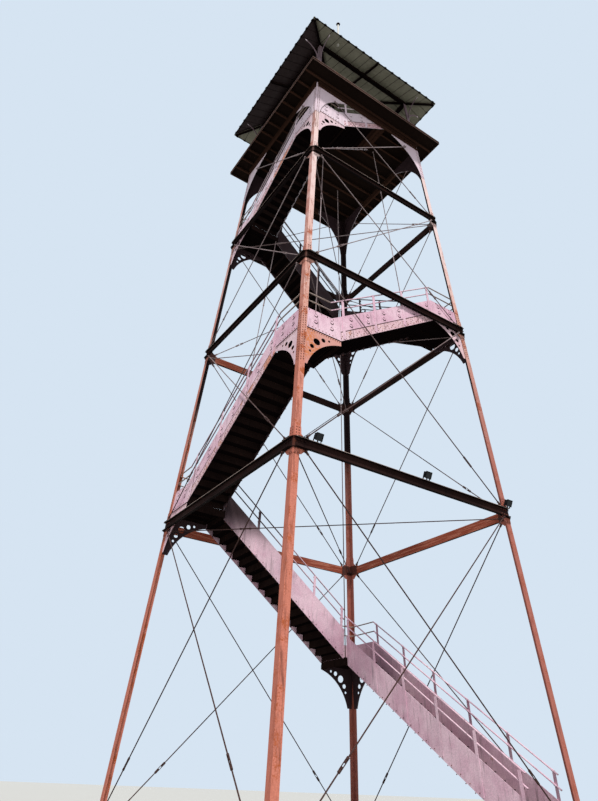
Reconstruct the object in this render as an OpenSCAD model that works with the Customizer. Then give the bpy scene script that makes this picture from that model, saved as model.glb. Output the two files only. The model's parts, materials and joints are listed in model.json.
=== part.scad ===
/* [Tower] */
// Half of the tower's width at the ground, to the outer corner of a leg
foot_half = 3776; // [3500:2:4200]
// Inward lean of every face, in millimetres for each millimetre of height
lean = 0.067; // [0.05:0.001:0.08]
// Height of the lowest ring of struts, to its middle
ring_low = 7100; // [6900:10:7250]
// Height of the middle ring of struts
ring_mid = 12980; // [12800:10:12990]
// Height of the upper ring of struts
ring_high = 17850; // [17600:10:17880]

/* [Legs and struts] */
// Width of each flange of a leg's angle section
leg_w = 160; // [120:5:200]
// Thickness of a leg's flanges
leg_t = 16; // [10:1:22]
// Depth of a strut's channel section
strut_d = 230; // [180:10:260]
// Width of a strut's flanges
strut_w = 75; // [60:5:90]
// Thickness of a strut's web and flanges
strut_t = 10; // [8:1:14]
// Side of the square base plate under each leg
base_w = 520; // [480:10:600]
// Thickness of the base plate
base_t = 25; // [20:1:40]
// Spacing of the four anchor holes in a base plate
anchor_gap = 400; // [380:5:420]
// Diameter of an anchor hole
anchor_d = 32; // [24:1:36]

/* [Tie rods] */
// Diameter of a tie rod
rod_d = 28; // [20:1:34]
// Length of a turnbuckle
buckle_l = 320; // [240:10:400]
// Share of a rod's length between its lower end and its turnbuckle
buckle_at = 0.17; // [0.12:0.01:0.35]

/* [Stairs] */
// Height of one riser
riser = 175; // [170:0.5:176]
// Overall width of a flight, over both side plates
stair_w = 1100; // [1000:10:1140]
// Length of a landing along each face, from the corner of the leg
landing_l = 1200; // [1180:5:1260]
// Height of the side plates above the floor or the line of the nosings
plate_h = 600; // [450:10:700]
// Thickness of the side plates and of the bracket plates
plate_t = 10; // [8:1:12]
// Depth of a flight's side plate below the line of its nosings
string_d = 205; // [190:5:240]
// Height of the lower handrail
rail_low = 880; // [820:10:940]
// Height of the upper handrail
rail_high = 1150; // [1080:10:1200]
// Diameter of a handrail
rail_d = 36; // [30:1:45]
// Width of a handrail post
post_w = 80; // [50:5:100]
// Thickness of a tread plate
tread_t = 8; // [6:1:12]

/* [Landing brackets] */
// Height of a bracket along the leg
bracket_h = 1180; // [1100:10:1300]
// Height of a bracket at its outer end
bracket_tip = 150; // [120:5:180]
// Radius of a bracket's arch
arch_r = 1470; // [1400:10:1700]
// Radius of the arc on which the holes lie
pierce_r = 690; // [660:5:720]
// Diameter of the largest hole
hole_big = 200; // [150:5:215]
// Diameter of the two middle holes
hole_mid = 124; // [90:2:136]
// Diameter of the two smallest holes
hole_small = 68; // [40:2:90]

/* [Deck] */
// Half of the deck's width
deck_half = 2910; // [2850:10:3000]
// Thickness of the deck's plates
deck_t = 30; // [20:1:40]
// Depth of a joist under the deck
joist_d = 110; // [90:5:130]
// Distance from one joist to the next
joist_gap = 490; // [450:10:650]
// Depth of the channel beams under the joists
beam_d = 230; // [180:10:260]
// Height of a spandrel plate on the leg
spandrel_h = 1690; // [1500:10:1800]
// Length of a spandrel plate along the beam
spandrel_l = 1280; // [1200:10:1400]
// Radius of a spandrel plate's curve
spandrel_r = 2100; // [1800:10:2600]

/* [Roof] */
// Half of the roof's width at the eaves
eave_half = 2940; // [2900:10:3000]
// Height of the eaves
eave_z = 24400; // [24350:10:24600]
// Pitch of the roof in degrees
pitch = 25; // [20:0.5:27]
// Thickness of the roof sheets
sheet_t = 12; // [8:1:16]
// Width of the wall plates and of each flange of a roof post's angle section
roof_post = 120; // [90:5:140]
// Thickness of a roof post's flanges
post_t = 12; // [8:1:16]
// Width of the rafters under the roof sheets
rafter_w = 60; // [40:5:80]
// Depth of the rafters
rafter_d = 90; // [60:5:110]

/* [Hidden] */

RED = [0.55, 0.30, 0.27];
PINK = [0.62, 0.45, 0.47];
DARK = [0.30, 0.18, 0.17];
GREY = [0.52, 0.54, 0.48];
PALE = [0.85, 0.85, 0.82];

// Risers in each flight, from the ground to the deck
RISERS = [24, 19, 17, 15, 14, 14, 13, 10];
FLIGHTS = len(RISERS);
RINGS = [ring_low, ring_mid, ring_high];
tilt = atan(lean);
fit = 0.3;

// Half width of the tower at a height, and a height measured up the slope of a face
function half(z) = foot_half - lean * z;
function up(z) = z / cos(tilt);
function steps_below(i) = i == 0 ? 0 : RISERS[i - 1] + steps_below(i - 1);
function floor_z(i) = riser * steps_below(i);

deck_z = floor_z(FLIGHTS);
joist_z = deck_z - deck_t - joist_d;
gusset_t = 12;
// Height that a strut's outer edge gains over its inner edge by the lean
strut_rise = sin(tilt) * (gusset_t + strut_w);
beam_z = joist_z - beam_d / 2 - strut_rise - fit;
leg_top = joist_z;
plate_in = leg_t + plate_t;

// Ends of a flight along its face: flight i climbs from landing i to landing i + 1
top_landing = 1470;
going_0 = 245;
function flight_end(i) = half(floor_z(i + 1)) - (i == FLIGHTS - 1 ? top_landing : landing_l);
function flight_start(i) = i == 0 ? flight_end(0) - (RISERS[0] - 1) * going_0 : landing_l - half(floor_z(i));
function going(i) = (flight_end(i) - flight_start(i)) / (RISERS[i] - 1);
function slope(i) = riser / going(i);
// The flight that starts at the ground climbs the right-hand face, and each next one the next face round
function flight_face(i) = (i + 1) % 4;
// Height of the line of the nosings at a place along the face
function nosing(i, x) = floor_z(i) + riser + (x - flight_start(i)) * slope(i);

// Frame of a face: X along it, Y up its slope, Z out of it, at a level distance inside the face
module on_face(side, inset = 0) {
  rotate([0, 0, 90 * side]) translate([0, inset - foot_half, 0]) rotate([90 - tilt, 0, 0]) children();
}
// Level frame with its origin at the outer corner of a leg, X and Y along the two faces and inwards
module at_corner(side, z) {
  rotate([0, 0, 90 * side]) translate([-half(z), -half(z), z]) children();
}
module box(x0, y0, z0, x1, y1, z1) {
  translate([x0, y0, z0]) cube([x1 - x0, y1 - y0, z1 - z0]);
}
// Round bar of eight sides between two points
module bar(a, b, d) {
  v = b - a;
  l = norm(v);
  translate(a) rotate([0, acos(v[2] / l), atan2(v[1], v[0])]) cylinder(h = l, d = d, $fn = 8);
}

// LEGS
module flange(side, end, z0, z1, w, t) {
  on_face(side) translate([0, 0, -t]) linear_extrude(t) polygon([
    [end * half(z0), up(z0)],
    [end * (half(z0) - w), up(z0)],
    [end * (half(z1) - w), up(z1)],
    [end * half(z1), up(z1)]]);
}
// Angle section in the corner between two faces
module corner_angle(side, z0, z1, w, t) {
  flange(side, -1, z0, z1, w, t);
  flange(side + 3, 1, z0, z1, w, t);
}
module leg(side) {
  color(RED) corner_angle(side, base_t, leg_top, leg_w, leg_t);
}
module leg_front_left() { leg(0); }
module leg_front_right() { leg(1); }
module leg_back_right() { leg(2); }
module leg_back_left() { leg(3); }

module base_plates() {
  mid = base_w / 2 - 180;
  color(DARK) for (side = [0:3]) at_corner(side, 0) translate([mid, mid, 0]) difference() {
    translate([-base_w / 2, -base_w / 2, 0]) cube([base_w, base_w, base_t]);
    for (x = [-1, 1], y = [-1, 1])
      translate([x, y, 0] * anchor_gap / 2 - [0, 0, 1]) cylinder(h = base_t + 2, d = anchor_d, $fn = 32);
  }
  color(DARK) for (side = [0:3]) lugs(side, foot_pin, 1);
}

// STRUTS: channels on the outside of the legs, their flanges outwards
module channel(side, z, depth, x0, x1) {
  on_face(side) {
    box(x0, up(z) - depth / 2, gusset_t, x1, up(z) + depth / 2, gusset_t + strut_t);
    for (end = [-1, 1]) {
      y = up(z) + end * (depth - strut_t) / 2;
      box(x0, y - strut_t / 2, gusset_t, x1, y + strut_t / 2, gusset_t + strut_w);
    }
  }
}
module strut_ring(z) {
  reach = half(z) - 25;
  color(DARK) for (side = [0:3]) channel(side, z, strut_d, -reach, reach);
}
module strut_ring_low() { strut_ring(ring_low); }
module strut_ring_mid() { strut_ring(ring_mid); }
module strut_ring_high() { strut_ring(ring_high); }

// COLLARS: level plates over and under the strut ends, each with lugs for the tie rods
collar_l = 380;
collar_out = gusset_t + strut_w + 12;
collar_cut = 60;
module collar_plate() {
  g = -gusset_t - fit;
  linear_extrude(strut_t) polygon([
    [g, g], [g, collar_l], [-collar_out, collar_l - 60], [-collar_out, collar_cut],
    [collar_cut, -collar_out], [collar_l - 60, -collar_out], [collar_l, g]]);
}
// How far out the two rods of a panel lie, the one that falls to the right and the one that falls to the left
rod_out = [32, 66];
lug_x = 300;
lug_w = 60;
lug_t = 9;
pin_up = 50;
// Height of the rods' pins over (way 1) or under (way -1) a ring
function pin_z(z, way) = z + way * (strut_d / 2 + strut_t + pin_up) + (way > 0 ? strut_rise : 0);
module lugs(side, pin, way) {
  on_face(side) for (k = [0, 1]) {
    x = way * (k == 0 ? 1 : -1) * (half(pin) - lug_x);
    translate([x, up(pin), rod_out[k]]) mirror([0, way < 0 ? 1 : 0, 0])
      box(-lug_w / 2, -pin_up - 8, -lug_t / 2, lug_w / 2, 22, lug_t / 2);
  }
}
module corner_collars() {
  color(DARK) for (z = RINGS, side = [0:3]) {
    at_corner(side, z + strut_d / 2 + strut_rise) collar_plate();
    at_corner(side, z - strut_d / 2 * cos(tilt) + sin(tilt) * gusset_t - strut_t - fit) collar_plate();
    for (way = [-1, 1]) lugs(side, pin_z(z, way), way);
  }
}
// Flared plates on the legs, behind the struts
gusset_up = 420;
gusset_down = 260;
module gusset(side, end, z) {
  on_face(side) linear_extrude(gusset_t) translate([-2 * end, 0]) polygon([
    [end * half(z + gusset_up), up(z + gusset_up)],
    [end * (half(z + gusset_up) - leg_w), up(z + gusset_up)],
    [end * (half(z) - leg_w - 30), up(z + strut_d)],
    [end * (half(z) - 330), up(z + strut_d / 2)],
    [end * (half(z) - 330), up(z - strut_d / 2)],
    [end * (half(z) - leg_w - 20), up(z - gusset_down)],
    [end * half(z - gusset_down), up(z - gusset_down)]]);
}
module corner_gussets() {
  color(RED) for (z = RINGS, side = [0:3], end = [-1, 1]) gusset(side, end, z);
}

// TIE RODS
foot_pin = base_t + pin_up;
// Spandrel plates: corners and centre of the curve, from the top of the leg at the beam's middle
spandrel_a = [leg_w - lean * spandrel_h, -spandrel_h];
spandrel_b = [spandrel_l, -beam_d / 2 - 5];
spandrel_v = (spandrel_b - spandrel_a) / norm(spandrel_b - spandrel_a);
spandrel_c = (spandrel_a + spandrel_b) / 2
  + [spandrel_v[1], -spandrel_v[0]] * sqrt(pow(spandrel_r, 2) - pow(norm(spandrel_b - spandrel_a) / 2, 2));
function spandrel_edge(x) = spandrel_c[1] + sqrt(pow(spandrel_r, 2) - pow(x - spandrel_c[0], 2));
// Pins of the uppermost rods, on the curved edge of the spandrel plates
deck_lug = 710;
deck_pin = [half(beam_z) - deck_lug, up(beam_z) + spandrel_edge(deck_lug), 0];
module eye(p, turn) {
  translate(p) rotate([0, 0, turn]) difference() {
    union() {
      translate([0, 0, -14]) cylinder(h = 28, r = 26, $fn = 8);
      translate([0, -22, -14]) cube([90, 44, 28]);
    }
    translate([-40, -40, -lug_t / 2 - fit]) cube([100, 80, lug_t + 2 * fit]);
  }
}
module turnbuckle() {
  for (end = [-1, 1]) translate([end * (buckle_l / 2 - 25), 0, 0]) rotate([0, 90, 0])
    cylinder(h = 50, r = 27, center = true, $fn = 6);
  for (y = [-1, 1]) translate([-buckle_l / 2, y * 21 - 5, -11]) cube([buckle_l, 10, 22]);
}
// One rod in the plane of a face, from a lower point to an upper point
module tie_rod(a, b) {
  d = b - a;
  l = norm(d);
  turn = atan2(d[1], d[0]);
  eye(a, turn);
  eye(b, turn + 180);
  translate(a) rotate([0, 0, turn]) {
    rotate([0, 90, 0]) {
      translate([0, 0, 80]) cylinder(h = l * buckle_at - 120, d = rod_d, $fn = 8);
      translate([0, 0, l * buckle_at + 40]) cylinder(h = l * (1 - buckle_at) - 120, d = rod_d, $fn = 8);
    }
    translate([l * buckle_at, 0, 0]) turnbuckle();
  }
}
module tie_rods(side) {
  lows = [foot_pin, pin_z(ring_low, 1), pin_z(ring_mid, 1), pin_z(ring_high, 1)];
  highs = [for (z = RINGS) pin_z(z, -1)];
  color(RED) for (k = [0:3]) {
    low = lows[k];
    high = k < 3 ? [half(highs[k]) - lug_x, up(highs[k]), 0] : deck_pin;
    for (way = [0, 1]) on_face(side) translate([0, 0, rod_out[way]]) mirror([way == 0 ? 0 : 1, 0, 0])
      tie_rod([half(low) - lug_x, up(low), 0], [-high[0], high[1], 0]);
  }
}
module tie_rods_front() { tie_rods(0); }
module tie_rods_right() { tie_rods(1); }
module tie_rods_back() { tie_rods(2); }
module tie_rods_left() { tie_rods(3); }

// Level rods from corner to corner, a little under the middle of each ring, and their plates at the legs
tie_drop = 105;
tie_plate = 200;
module level_ties() {
  color(RED) for (ring = RINGS, k = [0, 1]) {
    z = ring - tie_drop;
    reach = (half(z) - leg_t) * sqrt(2) - 40;
    rotate([0, 0, 45 + 90 * k]) translate([0, 0, z + (k == 0 ? 1 : -1) * (rod_d / 2 + 1)]) {
      rotate([0, 90, 0]) cylinder(h = 2 * (reach - tie_plate), d = rod_d, center = true, $fn = 8);
      translate([reach * 0.5, 0, 0]) turnbuckle();
      for (end = [-1, 1]) mirror([end < 0 ? 1 : 0, 0, 0]) linear_extrude(strut_t, center = true)
        polygon([
          [reach - tie_plate - 30, -40], [reach - 60, -100], [reach + 28, -12],
          [reach + 28, 12], [reach - 60, 100], [reach - tie_plate - 30, 40]]);
    }
  }
}

// Hangers: they carry the inner corner of each landing from the landing above it or from the deck
hanger_in = 45;
hanger_share = 0.72;
function hanger_point(z) = [landing_l - hanger_in - half(z), landing_l - hanger_in - half(z), z];
module hanger(low, high) {
  a = hanger_point(low);
  b = hanger_point(high);
  v = b - a;
  l = norm(v);
  translate(a) rotate([0, acos(v[2] / l), atan2(v[1], v[0])]) {
    translate([0, 0, 5]) cylinder(h = l * hanger_share - buckle_l / 2 + 45, d = rod_d, $fn = 8);
    translate([0, 0, l * hanger_share]) rotate([0, 90, 0]) turnbuckle();
    translate([0, 0, l * hanger_share + buckle_l / 2 - 50])
      cylinder(h = l * (1 - hanger_share) - buckle_l / 2 + 45, d = rod_d, $fn = 8);
  }
  translate(a) cylinder(h = 12, d = 60, $fn = 8);
  translate(b - [0, 0, 12]) cylinder(h = 12, d = 60, $fn = 8);
}
module landing_hangers() {
  color(RED) for (j = [1:FLIGHTS - 1]) rotate([0, 0, 90 * flight_face(j)])
    hanger(floor_z(j), j + 4 < FLIGHTS ? floor_z(j + 4) - 10 - frame_d : deck_z - deck_t);
}

// STAIRS: each flight stands inside its face and leans with it
module treads(i) {
  g = going(i);
  color(DARK) for (k = [1:RISERS[i] - 1]) {
    x = flight_start(i) + (k - 1) * g;
    z = floor_z(i) + k * riser;
    y = plate_in / cos(tilt) - half(z);
    inside = (stair_w - plate_t) / cos(tilt);
    rotate([0, 0, 90 * flight_face(i)]) translate([0, y, 0]) {
      box(x - 20, fit, z - tread_t, x + g - 1, inside - lean * tread_t - fit, z);
      box(x, fit, z - riser + 1, x + 6, inside - lean * riser - fit, z - tread_t / 2);
    }
  }
}
module treads_1() { treads(0); }
module treads_2() { treads(1); }
module treads_3() { treads(2); }
module treads_4() { treads(3); }
module treads_5() { treads(4); }
module treads_6() { treads(5); }
module treads_7() { treads(6); }
module treads_8() { treads(7); }

// Side plate of a flight, in the plane of its face; lead is how far it reaches over the lower landing
module side_outline(i, lead) {
  x0 = flight_start(i);
  x1 = flight_end(i);
  z0 = floor_z(i);
  z1 = floor_z(i + 1);
  low = max(nosing(i, x0) - string_d, 0);
  foot = i == 0 ? [[x0, 0], [x0 + (string_d - riser) / slope(i), 0]] : [[x0, up(low)]];
  polygon(concat(
    lead > 0 ? [[x0 - lead, up(z0 + plate_h + riser - lead * slope(i))], [x0 - lead, up(z0 - 20)], [x0, up(z0 - 20)]] : [],
    foot,
    [[x1, up(nosing(i, x1) - string_d)], [x1, up(z1 + plate_h)], [x0, up(z0 + riser + plate_h)]]));
}
module rail(i, h, lead) {
  x0 = flight_start(i);
  x1 = flight_end(i);
  a = [x0 - lead, up(nosing(i, x0 - lead) + h), 0];
  b = [x1, up(nosing(i, x1) + h), 0];
  bar(a, b, rail_d);
  for (p = [a, b]) translate(p) sphere(d = rail_d * 1.15, $fn = 16);
}
module stair_side(i, outer) {
  lead = outer && i > 0 ? riser / slope(i) : 0;
  x0 = flight_start(i);
  run = flight_end(i) - x0;
  posts = round(run / 1150);
  rail_n = outer ? rail_d / 2 : plate_t - rail_d / 2;
  inset = outer ? plate_in : leg_t + stair_w;
  on_face(flight_face(i), inset / cos(tilt)) {
    linear_extrude(plate_t) side_outline(i, lead);
    for (h = [rail_low, rail_high]) translate([0, 0, outer ? plate_t - rail_d / 2 : rail_d / 2]) rail(i, h, lead);
    for (k = [0:posts]) {
      x = x0 + post_w + k * (run - 3 * post_w) / posts;
      low = max(nosing(i, x) - string_d + 60, 0);
      box(x, up(low), outer ? plate_t : -plate_t, x + post_w, up(nosing(i, x) + rail_high), outer ? 2 * plate_t : 0);
    }
  }
}
module stair_sides(i) {
  color(PINK) {
    stair_side(i, true);
    stair_side(i, false);
  }
}
module stair_sides_1() { stair_sides(0); }
module stair_sides_2() { stair_sides(1); }
module stair_sides_3() { stair_sides(2); }
module stair_sides_4() { stair_sides(3); }
module stair_sides_5() { stair_sides(4); }
module stair_sides_6() { stair_sides(5); }
module stair_sides_7() { stair_sides(6); }
module stair_sides_8() { stair_sides(7); }

// LANDINGS: landing j stands in the corner where flight j - 1 ends and flight j starts
frame_w = 60;
frame_d = 50;
module landing_floor(j) {
  edge = plate_in / cos(tilt);
  at_corner(flight_face(j), floor_z(j)) {
    box(edge, edge, -10, landing_l, landing_l, 0);
    difference() {
      box(edge, edge, -10 - frame_d, landing_l, landing_l, -5);
      for (k = [0:2]) {
        w = (landing_l - edge - 4 * frame_w) / 3;
        x = edge + frame_w + k * (w + frame_w);
        box(x, edge + frame_w, -11 - frame_d, x + w, landing_l - frame_w, -9);
      }
    }
    box(landing_l - plate_t, edge + 60, -bracket_tip - 60, landing_l, landing_l, -10);
    box(edge + 60, landing_l - plate_t, -bracket_tip - 60, landing_l, landing_l, -10);
  }
}
module landing_floors() {
  color(DARK) for (j = [1:FLIGHTS - 1]) landing_floor(j);
}

// Arched bracket plate with five graded holes, drawn from the corner of the leg at floor level
bracket_top = -10 - frame_d;
arch_x = leg_w + sqrt(arch_r * arch_r - pow(arch_r - (bracket_h - bracket_tip) * 0.43, 2));
module bracket_outline() {
  cx = 1560;
  cy = -1620;
  difference() {
    polygon([[0, bracket_top], [landing_l, bracket_top], [landing_l, bracket_top - bracket_tip],
      [leg_w + 10, -bracket_h], [0, -bracket_h]]);
    translate([cx, cy]) circle(r = arch_r, $fn = 96);
    for (k = [[0, hole_big], [-20, hole_mid], [20, hole_mid], [-35, hole_small], [35, hole_small]])
      translate([925, -895] + pierce_r * [cos(133 + k[0]), sin(133 + k[0])]) circle(d = k[1], $fn = 32);
  }
}
module bracket(side, end, z) {
  on_face(side, plate_in / cos(tilt)) mirror([end > 0 ? 1 : 0, 0, 0])
    translate([-half(z), up(z), 0]) linear_extrude(plate_t) bracket_outline();
}
module landing_brackets() {
  color(RED) for (j = [1:FLIGHTS - 1]) {
    bracket(flight_face(j), -1, floor_z(j));
    bracket(flight_face(j - 1), 1, floor_z(j));
  }
}
module parapet(side, end, z, reach) {
  edge = leg_w + 4;
  on_face(side, plate_in / cos(tilt)) mirror([end > 0 ? 1 : 0, 0, 0]) linear_extrude(plate_t) polygon([
    [edge - half(z - 20), up(z - 20)],
    [reach - half(z), up(z - 20)],
    [reach - half(z), up(z + plate_h)],
    [edge - half(z + plate_h), up(z + plate_h)]]);
}
module landing_parapets() {
  color(PINK) for (j = [1:FLIGHTS - 1]) {
    parapet(flight_face(j), -1, floor_z(j), landing_l - riser / slope(j) - fit);
    parapet(flight_face(j - 1), 1, floor_z(j), landing_l - fit);
  }
}

// DECK
// The stair well reaches over the highest landing, which needs its headroom
well_x0 = 60 - half(deck_z);
well_x1 = flight_end(FLIGHTS - 1);
well_y0 = -half(deck_z) - 20;
well_y1 = plate_in - half(deck_z) + stair_w;
fascia_d = 90;
seam = 0.3;
module deck_floor() {
  e = deck_half;
  color(DARK) {
    box(-e, -e, deck_z - deck_t, e, well_y0 - seam, deck_z);
    box(-e, well_y1 + seam, deck_z - deck_t, e, e, deck_z);
    box(-e, well_y0, deck_z - deck_t, well_x0, well_y1, deck_z);
    box(well_x1, well_y0, deck_z - deck_t, e, well_y1, deck_z);
    for (side = [0:3]) rotate([0, 0, 90 * side])
      box(-e, -e, deck_z - deck_t - fascia_d, e - plate_t - seam, plate_t - e, deck_z - deck_t - seam);
  }
}
module joist(y, x0, x1) {
  box(x0, y - 30, joist_z, x1, y + 30, joist_z + 8);
  box(x0, y - 4, joist_z, x1, y + 4, deck_z - deck_t);
}
// Board across the joists that end at the stair well
trimmer_w = 20;
module trimmer(x) {
  y = -joist_gap * floor((-30 - well_y1) / joist_gap) - 30 - fit;
  box(x, well_y0 + 60, joist_z, x + trimmer_w - fit, y, deck_z - deck_t - fit);
}
module deck_frame() {
  edge = deck_half - plate_t;
  count = floor(edge / joist_gap);
  reach = half(beam_z) - 25;
  color(DARK) {
    for (k = [-count:count]) {
      y = k * joist_gap;
      if (y + 30 < well_y0 || y - 30 > well_y1) joist(y, -edge, edge);
      else {
        joist(y, -edge, well_x0 - trimmer_w);
        joist(y, well_x1 + trimmer_w, edge);
      }
    }
    trimmer(well_x0 - trimmer_w + fit);
    trimmer(well_x1);
    for (side = [0:3]) channel(side, beam_z, beam_d, -reach, reach);
  }
}
module spandrel_outline() {
  difference() {
    polygon([[0, beam_d / 2], [spandrel_l, beam_d / 2], spandrel_b, spandrel_a, [-lean * spandrel_h, -spandrel_h]]);
    translate(spandrel_c) circle(r = spandrel_r, $fn = 96);
  }
}
// Lugs on the spandrel plates, each with a block behind it that reaches out to the plane of its rod
module deck_lugs(side) {
  on_face(side) for (k = [0, 1]) mirror([1 - k, 0, 0]) translate(deck_pin) {
    box(-lug_w / 2, -22, rod_out[k] - lug_t / 2, lug_w / 2, 110, rod_out[k] + lug_t / 2);
    box(-lug_w / 2, 34, gusset_t - 1, lug_w / 2, 110, rod_out[k]);
  }
}
module spandrel(side, end) {
  on_face(side) mirror([end > 0 ? 1 : 0, 0, 0]) intersection() {
    translate([-half(beam_z), up(beam_z), 0]) linear_extrude(gusset_t) spandrel_outline();
    linear_extrude(gusset_t) polygon([
      [-half(beam_z - 2000), up(beam_z - 2000)], [0, up(beam_z - 2000)],
      [0, up(joist_z - 1)], [-half(joist_z), up(joist_z - 1)]]);
  }
}
module deck_spandrels() {
  color(PINK) for (side = [0:3]) {
    for (end = [-1, 1]) spandrel(side, end);
    deck_lugs(side);
  }
}
// Railing round the deck, just outside the roof posts, and round the stair well
rail_line = half(deck_z) + 50;
guard_h = 1050;
module guard(a, b, bays) {
  for (k = [1:3]) bar(a + [0, 0, k * guard_h / 3], b + [0, 0, k * guard_h / 3], rail_d);
  for (k = [0:bays]) {
    p = a + (b - a) * k / bays;
    bar(p, p + [0, 0, guard_h], rail_d);
  }
}
module deck_railing() {
  reach = rail_line - 60;
  y = well_y1 + 60;
  color(PINK) {
    for (side = [0:3]) rotate([0, 0, 90 * side])
      guard([-reach, -rail_line, deck_z], [reach, -rail_line, deck_z], 4);
    guard([well_x0 + 20, y, deck_z], [well_x1 - 300, y, deck_z], 3);
  }
}

// ROOF
post_line = half(eave_z) - roof_post / 2;
function roof_z(y) = eave_z + (eave_half - y) * tan(pitch);
plate_beam = 140;
beam_top = roof_z(post_line + roof_post / 2) - fit;
module roof_posts() {
  // The posts carry on the line of the legs
  color(PINK) for (side = [0:3])
    corner_angle(side, deck_z + sin(tilt) * post_t + fit, beam_top - plate_beam - fit, roof_post, post_t);
}
// Curved braces from the posts out to the eaves
brace_tip = eave_half - 60;
brace_top = roof_z(brace_tip) - 20;
module roof_braces() {
  r = (brace_tip - half(brace_top)) / (1 + lean) - fit;
  foot = brace_top - r;
  color(PINK) for (side = [0:3], end = [-1, 1]) rotate([0, 0, 90 * side])
    translate([end * (half(foot) - roof_post / 2), -brace_tip, foot]) rotate([90, 0, 90])
      rotate_extrude(angle = 80, $fn = 64) translate([r - 50, -8]) square([50, 16]);
}
// Rafter in the vertical plane of the X axis, from a to b out from the middle; the sheets fall by drop to its sides
module rafter(a, b, fall, drop) {
  top = eave_z + eave_half * tan(pitch) - drop - fit;
  rotate([90, 0, 0]) linear_extrude(rafter_w, center = true) polygon([
    [a, top - a * fall], [b, top - b * fall], [b, top - b * fall - rafter_d], [a, top - a * fall - rafter_d]]);
}
module roof_frame() {
  inner = post_line - roof_post / 2 - fit;
  outer = post_line + roof_post / 2 + fit;
  hip_drop = rafter_w / 2 * tan(pitch) / sqrt(2);
  color(DARK) {
    for (side = [0:3]) rotate([0, 0, 90 * side]) {
      box(-post_line - roof_post / 2, -post_line - roof_post / 2, beam_top - plate_beam,
        post_line - roof_post / 2 - seam, -post_line + roof_post / 2, beam_top);
      rotate([0, 0, -90]) {
        rafter(rafter_w * 1.25 + 5, inner, tan(pitch), 0);
        rafter(outer, eave_half - 30, tan(pitch), 0);
      }
      rotate([0, 0, -45]) {
        rafter(rafter_w / 2 + fit, inner * sqrt(2) - rafter_w / 2, tan(pitch) / sqrt(2), hip_drop);
        rafter(outer * sqrt(2), (eave_half - 30) * sqrt(2) - rafter_w / 2, tan(pitch) / sqrt(2), hip_drop);
      }
    }
  }
}
module roof_sheet() {
  run = eave_half / cos(pitch);
  linear_extrude(sheet_t) polygon([[2 - eave_half, 0], [eave_half - 2, 0], [0, run - 2]]);
}
vent_d = 80;
vent_at = [-1600, -2560];
module roof_sheets() {
  color(GREY) difference() {
    for (side = [0:3]) rotate([0, 0, 90 * side])
      translate([0, -eave_half, eave_z]) rotate([pitch, 0, 0]) roof_sheet();
    translate([vent_at[0], vent_at[1], eave_z]) cylinder(h = 600, d = vent_d + 2 * fit, $fn = 24);
  }
}
module vent_pipe() {
  z = roof_z(-vent_at[1]);
  color(PALE) translate([vent_at[0], vent_at[1], z]) difference() {
    union() {
      translate([0, 0, -60]) cylinder(h = 480, d = vent_d, $fn = 24);
      translate([0, 0, 400]) cylinder(h = 90, d = vent_d + 40, $fn = 24);
    }
    translate([0, 0, -61]) cylinder(h = 460, d = vent_d - 10, $fn = 24);
  }
}

// LAMPS on the front strut of the lowest ring
lamp_x = [-2730, 430, 3240];
module floodlights() {
  top = ring_low + strut_d / 2 + strut_rise;
  color(DARK) for (x = lamp_x)
    translate([x, -half(top) - gusset_t - strut_w + 20, top + (half(top) - abs(x) < collar_l + 20 ? strut_t + fit : 0)]) {
    cylinder(h = 90, d = 30, $fn = 12);
    translate([0, 0, 120]) rotate([25, 0, 0]) {
      translate([-80, -60, -50]) cube([160, 90, 140]);
      translate([-92, -72, -65]) cube([184, 12, 170]);
    }
  }
}

leg_front_left();
leg_front_right();
leg_back_right();
leg_back_left();
base_plates();
strut_ring_low();
strut_ring_mid();
strut_ring_high();
corner_collars();
corner_gussets();
tie_rods_front();
tie_rods_right();
tie_rods_back();
tie_rods_left();
level_ties();
landing_hangers();
treads_1();
treads_2();
treads_3();
treads_4();
treads_5();
treads_6();
treads_7();
treads_8();
stair_sides_1();
stair_sides_2();
stair_sides_3();
stair_sides_4();
stair_sides_5();
stair_sides_6();
stair_sides_7();
stair_sides_8();
landing_floors();
landing_brackets();
landing_parapets();
deck_floor();
deck_frame();
deck_spandrels();
deck_railing();
roof_posts();
roof_braces();
roof_frame();
roof_sheets();
vent_pipe();
floodlights();
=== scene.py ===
# %% [markdown]
# # A fire lookout tower
# The CAD model is already the tower's exact frame: legs, rings, rods, stairs, landings, deck and roof.
# This lesson dresses it. It gives every piece weathered paint, adds the rivets, bolts, boards, rails and
# seams that the CAD leaves out, and sets up the camera and the light. Each step says what the thing is on
# a real tower, how it could be made in Blender, and why it is made this way here.

# %% Load the frame
import json
import math
import random

import bmesh
import bpy
from mathutils import Matrix, Vector


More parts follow.
